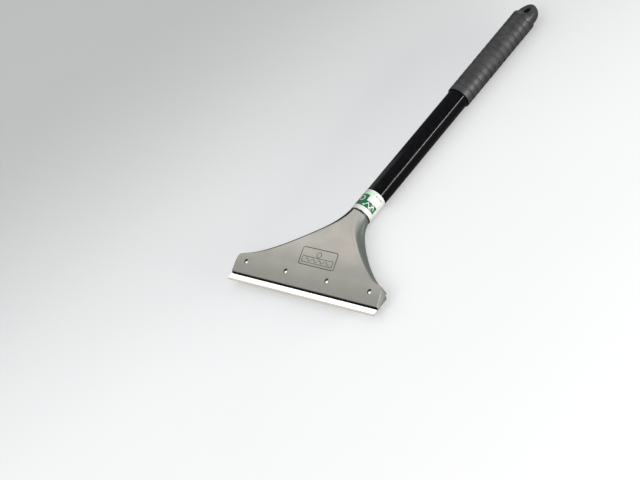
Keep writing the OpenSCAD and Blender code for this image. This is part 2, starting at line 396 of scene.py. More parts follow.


# Cast surface: even on the front, with painted shade that makes it darker near the lip, on the flanks and on
# the left rounded edge and black on the lip's narrow face, a lighter painted shade on the end walls, and a
# painted highlight on the rounded edges
def castMaterial():
    finish = castFinish
    material, tree, shader = newMaterial("castAlloy", metallic=finish["metallic"])
    grain = useGroup(tree, surfaceGrain, grainScale=1700.0, mottleScale=32.0, pitScale=900.0)
    # The Side mask below carries painted shade on the flanks, and the Edge mask a painted highlight on the
    # rounded edges
    turn = useGroup(tree, turnOfForm, frontLevel=1.0, sideLevel=0.35)
    towardsX = facing(tree, "X")
    # Painted shade: every face turned towards -x, the left rounded edge and flank, is made near black
    left = spread(tree, towardsX, -0.015, -0.08)
    # Painted shade: faces looking towards -y, the lip's narrow face, are made black
    under = spread(tree, facing(tree, "Y"), -0.6, -0.9)
    # Painted shade on the end walls near the lip, lighter than the flanks' painted shade
    aboveLip = calc(tree, "SUBTRACT", placeAlong(tree, "Y"), lipY)
    end = calc(tree, "MULTIPLY", spread(tree, aboveLip, *finish["endAt"]),
               spread(tree, calc(tree, "ABSOLUTE", towardsX), 0.55, 0.9))
    # Painted shade: darker and greener in a band along the lip
    band = spread(tree, aboveLip, *finish["bandAt"], 0.0, 0.8)
    pits = calc(tree, "MULTIPLY", grain["Pits"], calc(tree, "MULTIPLY", grain["Mottle"], 0.3))
    # Painted highlight, with a little wear, on the rounded edges between the front and the flanks
    worn = calc(tree, "MULTIPLY", turn["Edge"], calc(tree, "MULTIPLY", grain["Mottle"], 0.15))
    colour = blendColour(tree, grain["Mottle"], finish["front"], finish["cool"])
    for mask, shade in ((band, "band"), (pits, "pit"), (turn["Side"], "side"), (worn, "worn"), (left, "left"),
                        (end, "end"), (under, "lip")):
        colour = blendColour(tree, mask, colour, finish[shade])
    rough = calc(tree, "ADD", spread(tree, grain["Mottle"], 0.0, 1.0, 0.42, 0.50),
                 calc(tree, "MULTIPLY", left, 0.4))
    feed(tree, shader, baseColor=colour, roughness=rough)
    bump(tree, shader, grain["Height"], 0.35, 0.00006)
    return material


# The bevel tone and the black by the lip are painted shade; lines and stain are the steel's own
steelFinish = {"face": (0.93, 0.92, 0.88, 1), "lines": (0.80, 0.79, 0.75, 1), "bevel": (0.34, 0.31, 0.26, 1),
               "grime": (0.004, 0.004, 0.004, 1),
               "stain": (0.55, 0.47, 0.36, 1)}


def bladeMaterial(bevelY):
    material, tree, shader = newMaterial("groundSteel", metallic=1.0, anisotropic=0.35)
    grain = useGroup(tree, surfaceGrain, stretch=(0.02, 1, 1), grainScale=5200.0, mottleScale=900.0)
    spots = useGroup(tree, surfaceGrain, grainScale=300.0, mottleScale=60.0, pitScale=260.0)
    along = placeAlong(tree, "Y")
    # Painted shade: the bevel along the edge is darker and browner, standing in for it reflecting less light
    shadedBevel = spread(tree, along, bevelY + 0.0001, bevelY - 0.0001)
    colour = blendColour(tree, grain["Mottle"], steelFinish["face"], steelFinish["lines"])
    colour = blendColour(tree, calc(tree, "MULTIPLY", spots["Pits"], 0.25), colour, steelFinish["stain"])
    colour = blendColour(tree, shadedBevel, colour, steelFinish["bevel"])
    front = spread(tree, facing(tree, "Z"), 0.5, 0.9)
    # Painted shade and painted reflection: black on the blade's front just before and under the lip, where
    # the lip shades it and is mirrored in it
    corner = calc(tree, "MULTIPLY", spread(tree, along, lipY - 0.0013, lipY - 0.0007),
                  spread(tree, along, lipY + 0.0015, lipY + 0.0005))
    colour = blendColour(tree, calc(tree, "MULTIPLY", corner, front), colour, steelFinish["grime"])
    feed(tree, shader, baseColor=colour, roughness=spread(tree, grain["Mottle"], 0.0, 1.0, 0.10, 0.17))
    bump(tree, shader, grain["Height"], 0.25, 0.00001)
    return material


def platedMaterial(name, bright, dull, roughLow, roughHigh):
    material, tree, shader = newMaterial(name, metallic=1.0)
    grain = useGroup(tree, surfaceGrain, grainScale=2600.0, mottleScale=160.0, pitScale=600.0)
    colour = blendColour(tree, grain["Mottle"], bright, dull)
    colour = blendColour(tree, calc(tree, "MULTIPLY", grain["Pits"], 0.35), colour, (0.3, 0.28, 0.25, 1))
    feed(tree, shader, baseColor=colour,
         roughness=spread(tree, grain["Mottle"], 0.0, 1.0, roughLow, roughHigh))
    bump(tree, shader, grain["Height"], 0.2, 0.00003)
    return material


enamelFinish = {"black": (0.0015, 0.0015, 0.002, 1), "dust": (0.12, 0.12, 0.12, 1)}


def enamelMaterial():
    material, tree, shader = newMaterial("blackEnamel", specularIORLevel=0.08)
    grain = useGroup(tree, surfaceGrain, grainScale=240.0, mottleScale=70.0, pitScale=300.0)
    dust = useGroup(tree, settledDust, amount=0.02, scale=140.0)
    feed(tree, shader, baseColor=blendColour(tree, dust["Dust"], enamelFinish["black"], enamelFinish["dust"]),
         roughness=spread(tree, dust["Smear"], 0.0, 1.0, 0.10, 0.20))
    bump(tree, shader, grain["Height"], 0.12, 0.00008)
    return material


def mouldedMaterial(name, base, grainScale, strength, roughLow, roughHigh, dustAmount):
    material, tree, shader = newMaterial(name, specularIORLevel=0.4)
    grain = useGroup(tree, surfaceGrain, grainScale=grainScale, mottleScale=60.0, pitScale=grainScale / 2)
    dust = useGroup(tree, settledDust, amount=dustAmount, scale=110.0)
    lighter = tuple(min(1, c * 1.6 + 0.004) for c in base[:3]) + (1,)
    colour = blendColour(tree, grain["Mottle"], base, lighter)
    colour = blendColour(tree, dust["Dust"], colour, (0.22, 0.21, 0.20, 1))
    feed(tree, shader, baseColor=colour, roughness=spread(tree, dust["Smear"], 0.0, 1.0, roughLow, roughHigh))
    bump(tree, shader, grain["Height"], strength, 0.00012)
    return material


# The label's print: turns in degrees from the front, heights in millimetres above the label's lower end
labelPrint = {"film": (0.43, 0.44, 0.43, 1), "green": (0.004, 0.08, 0.025, 1), "pale": (0.26, 0.50, 0.31, 1),
              "grey": (0.06, 0.065, 0.06, 1), "bandTurn": (-75, 97), "band": (5.0, 12.3),
              "tileTurn": (-75, 25), "tile": (12.0, 19.0), "ringTurn": -6, "ringHeight": 13.6,
              "waveTurn": (20, 86), "waveMiddle": 8.6, "waveTall": 1.9, "waveTurnLength": 33, "line": 0.75,
              "ring": (2.2, 3.3), "yellowed": (0.36, 0.37, 0.35, 1), "dashes": (1.1, -0.3),
              "stripeTurn": (-75, 44), "stripe": (20.4, 22.0), "dashTurn": (50, 92), "dash": (20.3, 21.7)}


def labelMaterial(length):
    p = labelPrint
    material, tree, shader = newMaterial("labelFilm", specularIORLevel=0.35)
    band = addNode(tree, "ShaderNodeUVMap", uv_map="band").outputs["UV"]
    parts = addNode(tree, "ShaderNodeSeparateXYZ", {"Vector": band}).outputs
    turn = calc(tree, "MULTIPLY", calc(tree, "SUBTRACT", parts["X"], 0.5), 360.0)
    height = calc(tree, "MULTIPLY", parts["Y"], length)

    def block(turns, heights):
        return calc(tree, "MULTIPLY", between(tree, turn, *turns), between(tree, height, *heights))

    green = calc(tree, "MAXIMUM", block(p["bandTurn"], p["band"]), block(p["tileTurn"], p["tile"]))
    angle = calc(tree, "MULTIPLY", turn, 2 * math.pi / p["waveTurnLength"])
    crest = calc(tree, "MULTIPLY", calc(tree, "SINE", angle), p["waveTall"])
    centre = calc(tree, "ADD", crest, p["waveMiddle"])
    wave = calc(tree, "LESS_THAN", calc(tree, "ABSOLUTE", calc(tree, "SUBTRACT", height, centre)), p["line"])
    wave = calc(tree, "MULTIPLY", wave, between(tree, turn, *p["waveTurn"]))
    perDegree = math.pi * (tubeRadius + 0.2) / 180
    across = calc(tree, "MULTIPLY", calc(tree, "SUBTRACT", turn, p["ringTurn"]), perDegree)
    upwards = calc(tree, "SUBTRACT", height, p["ringHeight"])
    reach = calc(tree, "SQRT", calc(tree, "ADD", calc(tree, "MULTIPLY", across, across),
                                    calc(tree, "MULTIPLY", upwards, upwards)))
    ring = between(tree, reach, *p["ring"])
    marks = calc(tree, "MAXIMUM", wave, ring)
    green = calc(tree, "MULTIPLY", green, calc(tree, "SUBTRACT", 1.0, marks))
    beat = calc(tree, "SINE", calc(tree, "MULTIPLY", turn, p["dashes"][0]))
    dashes = calc(tree, "GREATER_THAN", beat, p["dashes"][1])
    dashes = calc(tree, "MULTIPLY", dashes, block(p["dashTurn"], p["dash"]))
    grain = useGroup(tree, surfaceGrain, grainScale=500.0, mottleScale=120.0)
    colour = blendColour(tree, calc(tree, "MULTIPLY", grain["Mottle"], 0.12), p["film"], p["yellowed"])
    colour = blendColour(tree, block(p["stripeTurn"], p["stripe"]), colour, p["pale"])
    colour = blendColour(tree, green, colour, p["green"])
    colour = blendColour(tree, dashes, colour, p["grey"])
    feed(tree, shader, baseColor=colour, roughness=spread(tree, grain["Mottle"], 0.0, 1.0, 0.28, 0.38))
    bump(tree, shader, grain["Height"], 0.15, 0.00005)
    return material


def finishPiece(obj, body, material, node):
    if material not in list(obj.data.materials):
        obj.data.materials.clear()
        obj.data.materials.append(material)
    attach(obj, body)
    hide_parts(node)
    return obj


# The head: a lofted half, mirrored and smoothed, then hollowed and drilled

spigot = {"radius": 8.2, "length": 44, "chamfer": 0.8, "end": (headHigh.y - lipY) / mm}
head = {"height": spigot["end"] - spigot["length"], "halfLip": headHigh.x / mm, "lipLevel": -1.2,
        "rimLevel": -3.8, "bandSlope": 0.543, "riseSlope": 0.0513, "crease": 4, "endTaper": 0.8,
        "shoulder": 18, "edgeRadius": 4, "endRadius": 0.9, "endDraft": 0.3, "flankDraft": 2,
        "backRadius": 1, "wall": 3, "ribWidth": 3, "ribAngle": 42, "pocket": (22, 82),
        "reliefTilt": (140.6, 14), "ringPoints": 12, "smoothing": 2, "neckRound": 0.4}
bladeLow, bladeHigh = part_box("blade")
seatLevel = (bladeHigh.z - axisZ) / mm
bladeBack = (bladeHigh.y - lipY) / mm
bladeEdge = (bladeLow.y - lipY) / mm


def frontLevel(y):
    a = head["lipLevel"] + head["bandSlope"] * y
    b = tubeRadius - head["riseSlope"] * (head["height"] - y)
    return min(a, b) - max(head["crease"] - abs(a - b), 0) ** 2 / (4 * head["crease"])


def backLevel(y):
    return mix(head["rimLevel"], -tubeRadius, y / head["height"])


def headOutline():
    half, shoulder = head["halfLip"], head["shoulder"]
    inner = half - head["endTaper"]
    points = [(half - head["endTaper"] * t, (shoulder - 3.5) * t) for t in (0, 0.02, 0.15, 0.4, 0.7, 1)]
    for u in (0.2, 0.4, 0.6, 0.8):
        points.append((bezier((inner, half - 1.4, half - 3, half - 7), u),
                       bezier((shoulder - 3.5, shoulder - 0.2, shoulder + 0.9, shoulder + 2), u)))
    for i in range(17):
        u = i / 16 * (1 - 0.6 / head["height"])
        points.append((bezier((half - 7, 72, tubeRadius + 7, tubeRadius), u),
                       bezier((shoulder + 2, 28, 65, head["height"]), u)))
    return points


outline = headOutline()


def normalX(i):
    a, b = outline[max(i - 1, 0)], outline[min(i + 1, len(outline) - 1)]
    return abs(b[1] - a[1]) / math.hypot(b[0] - a[0], b[1] - a[1])


# Points of a flat run that ends in a quarter ellipse, even along it where share is 1
def flatAndArc(flat, width, height, share):
    count = head["ringPoints"]
    onFlat = 4
    arc = math.pi / 2 * math.sqrt((width * width + height * height) / 2)
    points = []
    for k in range(count):
        marked = flat * k / onFlat if k < onFlat else flat + arc * (k - onFlat) / (count - 1 - onFlat)
        s = mix(marked, (flat + arc) * k / (count - 1), share)
        if s <= flat:
            points.append((s, 0))
        else:
            a = math.pi / 2 * (s - flat) / arc
            points.append((flat + width * math.sin(a), -height * (1 - math.cos(a))))
    return points


# Half of the head's cross-section, from the front's middle round the side to the back's middle
def headSection(i, shrink=0.0):
    half, y = outline[i]
    height = head["height"]
    toNeck = rise(50, height, y)
    side = min(1 / normalX(i), 2.6)
    front, back = frontLevel(y) - shrink, backLevel(y) + shrink
    half -= shrink
    draft = mix(mix(head["endDraft"], head["flankDraft"], rise(12, 24, y)) * side, 0, rise(70, height, y))
    edge = mix(head["endRadius"], head["edgeRadius"], rise(15, 30, y))
    frontH = mix(min(edge, (frontLevel(y) - seatLevel) * 0.45), tubeRadius, toNeck)
    frontW = mix(min(edge, (frontLevel(y) - seatLevel) * 0.45) * side, tubeRadius, toNeck)
    backR = mix(head["backRadius"], tubeRadius, toNeck)
    frontFlat, backFlat = max(half - draft - frontW, 0), max(half - backR, 0)
    over = flatAndArc(frontFlat, frontW, frontH, toNeck)
    under = flatAndArc(backFlat, backR, backR, toNeck)
    return ([(x, y, front + z) for x, z in over] + [(x, y, back - z) for x, z in reversed(under)])


def circleSection(radius, y):
    last = 2 * head["ringPoints"] - 1
    turns = [math.pi * k / last for k in range(last + 1)]
    return [(radius * math.sin(a), y, radius * math.cos(a)) for a in turns]


def headBlank():
    height = head["height"]
    rings = [[(x, 0, z) for x, y, z in headSection(0, 0.25)]]
    rings += [headSection(i) for i in range(1, len(outline))]
    neckEdge = head["neckRound"]
    swell = 1.003                              # makes up for what smoothing takes off a round
    rings.append(circleSection(tubeRadius * swell, height - neckEdge))
    rings.append(circleSection((tubeRadius - neckEdge * 0.3) * swell, height - neckEdge * 0.3))
    rings.append(circleSection(tubeRadius - neckEdge, height))
    r = spigot["radius"]
    end = spigot["end"]
    for radius, y in ((r + 0.5, height), (r, height + 0.3), (r, height + 1), (r, mix(height, end, 0.5)),
                      (r, end - spigot["chamfer"]), (r - 0.7, end - 0.1), (r - 1.2, end)):
        rings.append(circleSection(radius, y))
    count = 2 * head["ringPoints"]
    points = [p for ring in rings for p in ring]
    faces = []
    for i in range(len(rings) - 1):
        for k in range(count - 1):
            faces.append((i * count + k, i * count + k + 1, (i + 1) * count + k + 1, (i + 1) * count + k))
    for start in (0, (len(rings) - 1) * count):
        for k in range(head["ringPoints"] - 1):
            a, b = start + k, start + count - 1 - k
            faces.append((a, a + 1, b - 1, b))
    obj = newObject("castHead", points, faces)
    build = bmesh.new()
    build.from_mesh(obj.data)
    bmesh.ops.recalc_face_normals(build, faces=build.faces)
    crease = build.edges.layers.float.get("crease_edge") or build.edges.layers.float.new("crease_edge")
    for edge in build.edges:
        if all(v.co.y < 1e-6 for v in edge.verts) and len(set(len(f.verts) for f in edge.link_faces)) == 1:
            side = [abs(f.normal.y) > 0.99 for f in edge.link_faces]
            edge[crease] = 0.7 if any(side) and not all(side) else 0.0
    build.to_mesh(obj.data)
    build.free()
    mirror = obj.modifiers.new("mirror", "MIRROR")
    mirror.merge_threshold = 0.0005
    mirror.use_clip = True
    subdivide(obj, head["smoothing"])
    return faceOutwards(applyStack(obj), 0.0001)


def pocketPlans():
    y0, y1 = head["pocket"]
    skin = head["wall"] + head["flankDraft"]
    edge = [(max(outline[i][0] - skin / normalX(i), 3), outline[i][1]) for i in range(len(outline))
            if y0 - 6 < outline[i][1] < y1 + 6]

    def flankAt(y):
        for (xa, ya), (xb, yb) in zip(edge, edge[1:]):
            if ya <= y <= yb:
                return mix(xa, xb, (y - ya) / (yb - ya))
        return edge[-1][0]

    lean = math.radians(head["ribAngle"])
    half = head["ribWidth"] / 2

    def ribAt(y):
        return (y1 + 4 - y) * math.tan(lean)

    inner = [(half, y0), (ribAt(y0) - half / math.cos(lean), y0), (half + 1.5, y1 - 6), (half, y1 - 6)]
    outer = [(ribAt(y0) + half / math.cos(lean), y0), (flankAt(y0), y0)]
    outer += [(x, y) for x, y in edge if y0 + 1 < y < y1 - 8]
    outer += [(flankAt(y1 - 6), y1 - 6), (ribAt(y1 - 6) + half / math.cos(lean), y1 - 6)]
    plans = []
    for plan in (inner, outer):
        plan = roundedPlan(plan, 2.6)
        plans += [plan, [(-x, y) for x, y in reversed(plan)]]
    return plans


def pocketCutter(plan):
    rings = []
    for depth, shift in ((None, -0.9), (1.7, 0), (0.5, 0.4), (0, 1.3)):
        ring = inset(plan, shift)
        rings.append([(x, y, -tubeRadius - 3 if depth is None else frontLevel(y) - head["wall"] - depth)
                      for x, y in ring])
    return ringSolid("pocketCutter", rings)


screw = {"nodes": [f"clamp_screw_{n}" for n in range(1, 5)], "radius": 2.0, "bore": 2.06, "bevel": 0.35,
         "mouth": 2.46}


# Drill whose shoulder follows the sloping front face, so the hole's rim is evenly bevelled
def boreCutter(node):
    cx, cy = middleOf(node)
    rings = []
    for kind, radius, offset in (("flat", screw["bore"], -20), ("skin", screw["bore"], -screw["bevel"]),
                                 ("skin", screw["bore"] + screw["bevel"] + 0.05, 0.05),
                                 ("flat", screw["mouth"], 8)):
        rings.append([(x, y, offset if kind == "flat" else frontLevel(y) + offset)
                      for x, y in circle(radius, 32, cx, cy)])
    return ringSolid("boreCutter", rings)


rivet = {"station": tubeStart + 32, "radius": 1.6, "hole": 1.63, "length": 7.0, "headRadius": 3.2,
         "headHeight": 1.0, "mandrel": 0.6}


# One hole through the tube and the bush into the spigot
def rivetDrill():
    ring = circle(rivet["hole"], 32, 0, rivet["station"])
    end = -tubeRadius + rivet["length"] + 0.1
    return ringSolid("rivetDrill", [[(x, y, z) for x, y in ring] for z in (-tubeRadius - 2, end)])


emblem = {"size": (49, 20.6), "middle": (2, 31.5), "corner": 3, "slant": 0.41, "line": 0.8, "innerLine": 0.6,
          "bar": (42, 7.2), "barAt": -3.7, "barCorner": 0.8, "ringAt": 3.6, "ringRadius": 3.3,
          "reach": 17, "swing": 1.5, "waves": 4, "waveSteps": 96}


# Round-nosed engraving tool of the given width, swept along a path on the front face
def engraver(path, width, cyclic=True):
    curve = bpy.data.curves.new("engraver", "CURVE")
    curve.dimensions = "3D"
    curve.bevel_depth = width / 2
    curve.bevel_resolution = 1
    curve.use_fill_caps = not cyclic
    line = curve.splines.new("POLY")
    line.points.add(len(path) - 1)
    line.use_cyclic_u = cyclic
    for point, (u, v) in zip(line.points, path):
        y = emblem["middle"][1] + v
        point.co = (emblem["middle"][0] + u - emblem["slant"] * v, y, frontLevel(y), 1)
    obj = bpy.data.objects.new("engraver", curve)
    bpy.context.scene.collection.objects.link(obj)
    bpy.context.view_layer.update()
    mesh = bpy.data.meshes.new_from_object(obj.evaluated_get(bpy.context.evaluated_depsgraph_get()))
    bpy.data.objects.remove(obj)
    solid = bpy.data.objects.new("engraverSolid", mesh)
    bpy.context.scene.collection.objects.link(solid)
    return faceOutwards(solid)


def frameEngraver(size, at, corner, width):
    w, h = (size[0] - width) / 2, (size[1] - width) / 2
    border = roundedPlan([(-w, at - h), (w, at - h), (w, at + h), (-w, at + h)], corner, 8)
    return engraver(border, width)


def emblemCutter():
    e = emblem
    half = e["waveSteps"] // 2
    along = [k / half - 1 for k in range(e["waveSteps"] + 1)]
    wave = [(e["reach"] * t, e["barAt"] + e["swing"] * math.sin(math.pi * e["waves"] * t)) for t in along]
    ring = circle(e["ringRadius"] - e["innerLine"] / 2, 32, 0, e["ringAt"])
    return joined("emblemCutter", [frameEngraver(e["size"], 0, e["corner"], e["line"]),
                                   frameEngraver(e["bar"], e["barAt"], e["barCorner"], e["innerLine"]),
                                   engraver(ring, e["innerLine"]), engraver(wave, e["innerLine"], False)])


# Slope under one end of the head, from the seat's end up towards the shoulder
def reliefCutter(side):
    tilt, turn = (math.radians(angle) for angle in head["reliefTilt"])
    obj = boxSolid("reliefCutter", (-30, -30, 0), (30, 30, 60))
    obj.data.transform(Matrix.Translation((head["halfLip"], 0, seatLevel)) @ Matrix.Rotation(turn, 4, "Z")
                       @ Matrix.Rotation(tilt, 4, "Y"))
    obj.data.transform(Matrix.Diagonal((side, 1, 1, 1)))
    return faceOutwards(obj)


def makeHead(material):
    obj = headBlank()
    obj.data.materials.append(material)
    half = head["halfLip"] + 5
    cutters = [boxSolid("seatCutter", (-half, -3, -30), (half, bladeBack + 0.05, seatLevel))]
    cutters += [pocketCutter(plan) for plan in pocketPlans()]
    cut(obj, joined("hollowCutter", cutters))
    cut(obj, joined("reliefCutters", [reliefCutter(side) for side in (-1, 1)]))
    cut(obj, rivetDrill())
    # Painted shade: the faces cut by the bores and the engraving get a near-black colour, standing in for the
    # shade inside them
    grime = mouldedMaterial("grooveShade", (0.02, 0.02, 0.018, 1), 900.0, 0.3, 0.7, 0.9, 0.0)
    for cutter in (joined("drills", [boreCutter(node) for node in screw["nodes"]]), emblemCutter()):
        cutter.data.materials.append(grime)
        cut(obj, cutter)
    return putInPlace(softShade(obj))


castAlloy = castMaterial()
castHead = finishPiece(makeHead(castAlloy), "scraper", castAlloy, "head_casting")
print("head done:", len(castHead.data.polygons), "faces")


# The blade, the clamp bar and their fixings

blade = {"bevel": 1.6, "edge": 0.2, "hole": 2.3, "clip": 3, "corner": 0.06}
bar = {"hole": 2.3, "corner": 3, "round": 0.5}


def screwDrills(radius):
    drills = []
    for node in screw["nodes"]:
        cx, cy = middleOf(node)
        ring = circle(radius, 40, cx, cy)
        drills.append(ringSolid("drill", [[(x, y, z) for x, y in ring] for z in (-20, 10)]))
    return joined("drills", drills)


def makeBlade():
    low, high = levelsOf("blade")
    section = [(bladeEdge, low), (bladeBack, low), (bladeBack, high), (bladeEdge + blade["bevel"], high),
               (bladeEdge, low + blade["edge"])]
    half = head["halfLip"]
    obj = ringSolid("groundBlade", [[(x, y, z) for y, z in section] for x in (-half, 0, half)])
    cut(obj, screwDrills(blade["hole"]))
    clip = blade["clip"]
    square = [(half - clip, bladeBack), (half, bladeBack - clip), (half + clip, bladeBack),
              (half, bladeBack + clip)]
    cut(obj, joined("clipCutters", [ringSolid("clipCutter", [[(x * side, y, z) for x, y in square]
                                                             for z in (low - 5, high + 5)])
                                    for side in (-1, 1)]))
    bevelEdges(obj, blade["corner"], 1, 50)
    return putInPlace(softShade(applyStack(obj), 20))


def makeBar():
    low, high = levelsOf("clamp_plate")
    cornerLow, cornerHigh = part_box("clamp_plate")
    half, y0, y1 = cornerHigh.x / mm, (cornerLow.y - lipY) / mm, (cornerHigh.y - lipY) / mm
    plan = roundedPlan([(-half, y0), (half, y0), (half, y1), (-half, y1)], bar["corner"], 8)
    obj = ringSolid("clampBar", [[(x, y, z) for x, y in plan] for z in (low, high)])
    cut(obj, screwDrills(bar["hole"]))
    bevelEdges(obj, bar["round"], 3)
    return putInPlace(softShade(applyStack(obj), 30))


fixing = {"pitch": 0.7, "threadDepth": 0.4, "headRadius": 4, "headRound": 1.4, "headHeight": 2.8,
          "tipChamfer": 0.5, "recess": (4.4, 0.9, 1.3), "rowsPerTurn": 6,
          "washerRadius": 3.7, "washerHole": 2.3, "washerEdge": 0.12,
          "washerSteps": 40, "slit": 0.7}


def makeScrew(node, name):
    low, high = levelsOf(node)
    length = high - low
    f = fixing
    under = f["headHeight"]
    shank = screw["radius"]
    top = length - f["tipChamfer"]
    profile = [(0, length), (shank - f["tipChamfer"], length), (shank, top)]
    rows = round((top - under) / f["pitch"] * f["rowsPerTurn"])
    profile += [(shank, mix(top, under, k / rows)) for k in range(1, rows + 1)]
    profile.append((f["headRadius"], under))
    for k in range(7):
        a = math.radians(90 - 15 * k)
        profile.append((f["headRadius"] - f["headRound"] * (1 - math.sin(a)),
                        f["headRound"] * (1 - math.cos(a))))
    profile.append((0, 0))
    obj = turned(name, profile, 36)
    for vertex in obj.data.vertices:                  # cuts the thread into the shank
        x, y, z = vertex.co
        r = math.hypot(x, y)
        if shank - 0.1 < r < shank + 0.2 and under - 0.01 < z < top + 0.01:
            turns = (z / f["pitch"] - math.atan2(y, x) / (2 * math.pi)) % 1
            depth = f["threadDepth"] * min(1, 1.25 * (1 - abs(2 * turns - 1)))
            depth *= rise(under, under + 0.8, z) * (1 - rise(length - 1.1, length - 0.5, z))
            vertex.co.x, vertex.co.y = x * (1 - depth / r), y * (1 - depth / r)
    long, wide, deep = f["recess"]
    tools = []
    for turn in (0, math.pi / 2):
        rings = []
        for z, grow in ((-1, 0.15), (0, 0.05), (deep * 0.7, -0.12), (deep, -0.3)):
            a, b = long / 2 + 2.2 * grow, wide / 2 + grow * 0.5
            plan = [(-a, -b), (a, -b), (a, b), (-a, b)]
            c, s = math.cos(turn), math.sin(turn)
            rings.append([(x * c - y * s, x * s + y * c, z) for x, y in plan])
        tools.append(ringSolid("driverTool", rings))
    for tool in tools:
        cut(obj, tool)
    cx, cy = middleOf(node)
    return putInPlace(softShade(obj, 35), Matrix.Translation((cx, cy, low)))


def makeWasher(node, name, turn):
    low, high = levelsOf(node)
    f = fixing
    a = f["washerEdge"]
    r0, r1, top = f["washerHole"], f["washerRadius"], high - low
    section = [(r0, top - a), (r0 + a, top), (r1 - a, top), (r1, top - a), (r1, a), (r1 - a, 0), (r0 + a, 0),
               (r0, a)]
    gap = f["slit"] / (r0 + r1)
    rings = []
    for k in range(f["washerSteps"] + 1):
        angle = turn + gap + (2 * math.pi - 2 * gap) * k / f["washerSteps"]
        rings.append([(r * math.cos(angle), r * math.sin(angle), z) for r, z in section])
    cx, cy = middleOf(node)
    return putInPlace(softShade(ringSolid(name, rings)), Matrix.Translation((cx, cy, low)))


bladeSteel = bladeMaterial(bladeLow.y + blade["bevel"] * mm)
plateSteel = platedMaterial("zincPlate", (0.62, 0.62, 0.60, 1), (0.45, 0.45, 0.44, 1), 0.3, 0.45)
screwSteel = platedMaterial("brightZinc", (0.93, 0.92, 0.88, 1), (0.78, 0.77, 0.74, 1), 0.25, 0.4)
washerSteel = platedMaterial("springSteel", (0.5, 0.49, 0.47, 1), (0.32, 0.31, 0.3, 1), 0.3, 0.45)
finishPiece(makeBlade(), "blade", bladeSteel, "blade")
finishPiece(makeBar(), "clamp", plateSteel, "clamp_plate")
for number, node in enumerate(screw["nodes"], 1):
    finishPiece(makeScrew(node, f"clampScrew{number}"), f"screw_{number}", screwSteel, node)
    washerNode = f"lock_washer_{number}"
    finishPiece(makeWasher(washerNode, f"springWasher{number}", math.radians(75 * number)), "clamp",
                washerSteel, washerNode)
print("blade and clamp done")


# The handle

bush = {"flange": 1.8, "length": 40, "gap": 0.04, "round": 0.2}
tube = {"wall": 1.3, "steps": 128, "round": 0.15}
label = {"clear": 0.02, "thick": 0.18, "edge": (0.05, 0.08), "steps": 128, "rows": 6}
grip = {"radius": tubeRadius + 1.4, "pitch": 8, "groove": 2.4, "depth": 0.8, "round": 0.8, "steps": 96}
cap = {"collar": 6, "plug": 20, "tab": 9, "hole": 4, "holeFromEnd": 11, "edge": 0.5}


def makeBush():
    inner, outer = spigot["radius"] + bush["gap"], tubeRadius - tube["wall"] - bush["gap"]
    base = head["height"]
    profile = roundedPlan([(inner, base), (inner, base + bush["length"]), (outer, base + bush["length"]),
                           (outer, base + bush["flange"]), (tubeRadius, base + bush["flange"]),
                           (tubeRadius, base)], bush["round"], 2)
    obj = turned("neckBush", profile, 96, True)
    obj.data.transform(upHandle)
    return putInPlace(softShade(cut(obj, rivetDrill())))


def makeTube():
    inner = tubeRadius - tube["wall"]
    wall = [(inner, tubeStart), (inner, tubeEnd), (tubeRadius, tubeEnd), (tubeRadius, tubeStart)]
    profile = roundedPlan(wall, tube["round"], 2)
    obj = turned("handleTube", profile, tube["steps"], True)
    obj.data.transform(upHandle)
    return putInPlace(softShade(cut(obj, rivetDrill())))


def makeLabel():
    low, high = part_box("label_sleeve")
    y0, y1 = (low.y - lipY) / mm, (high.y - lipY) / mm
    r0 = tubeRadius + label["clear"]
    r1 = r0 + label["thick"]
    inwards, down = label["edge"]
    profile = [(r0, y0), (r0, y1), (r1 - inwards, y1), (r1, y1 - down)]
    profile += [(r1, mix(y1, y0, k / label["rows"])) for k in range(1, label["rows"])]
    profile += [(r1, y0 + down), (r1 - inwards, y0)]
    obj = turned("labelBand", profile, label["steps"], True)
    uv = obj.data.uv_layers.new(name="band")
    for face in obj.data.polygons:                    # u goes once round, with its seam at the underside
        middle = math.atan2(face.center.x, -face.center.y)
        for corner in face.loop_indices:
            p = obj.data.vertices[obj.data.loops[corner].vertex_index].co
            angle = math.atan2(p.x, -p.y)
            angle += 2 * math.pi * round((middle - angle) / (2 * math.pi))
            uv.data[corner].uv = (0.5 + angle / (2 * math.pi), (p.z - y0) / (y1 - y0))
    putInPlace(softShade(obj), upHandle)
    return obj, y1 - y0


def makeRivet():
    r = rivet
    profile = [(0, r["length"]), (r["radius"] - 0.2, r["length"]), (r["radius"], r["length"] - 0.2),
               (r["radius"], 0.0),
               (r["headRadius"] - 0.1, 0.0), (r["headRadius"], -0.12)]
    for k in range(1, 7):
        a = math.radians(15 * k)
        profile.append((mix(r["mandrel"] + 0.2, r["headRadius"], math.cos(a)),
                        -0.12 - (r["headHeight"] - 0.14) * math.sin(a)))
    profile += [(r["mandrel"], -r["headHeight"] + 0.05), (r["mandrel"], -0.2), (0, -0.1)]
    obj = turned("blindRivet", profile, 48)
    return putInPlace(softShade(obj), Matrix.Translation((0, r["station"], -tubeRadius - 0.1)))


def makeGrip():
    low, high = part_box("hand_grip")
    y0, y1 = (low.y - lipY) / mm, (high.y - lipY) / mm
    g = grip
    r0, r1 = tubeRadius + 0.05, g["radius"]
    corners = [(r0, y0), (r0, y1), (r1, y1)]
    count = int((y1 - y0) // g["pitch"]) - 1
    for k in range(count, 0, -1):
        y = y0 + k * g["pitch"]
        corners += [(r1, y + g["groove"] / 2), (r1 - g["depth"], y + g["groove"] / 4),
                    (r1 - g["depth"], y - g["groove"] / 4), (r1, y - g["groove"] / 2)]
    corners.append((r1, y0))
    obj = turned("ribbedGrip", roundedPlan(corners, g["round"], 3), g["steps"], True)
    return putInPlace(softShade(obj, 40), upHandle)


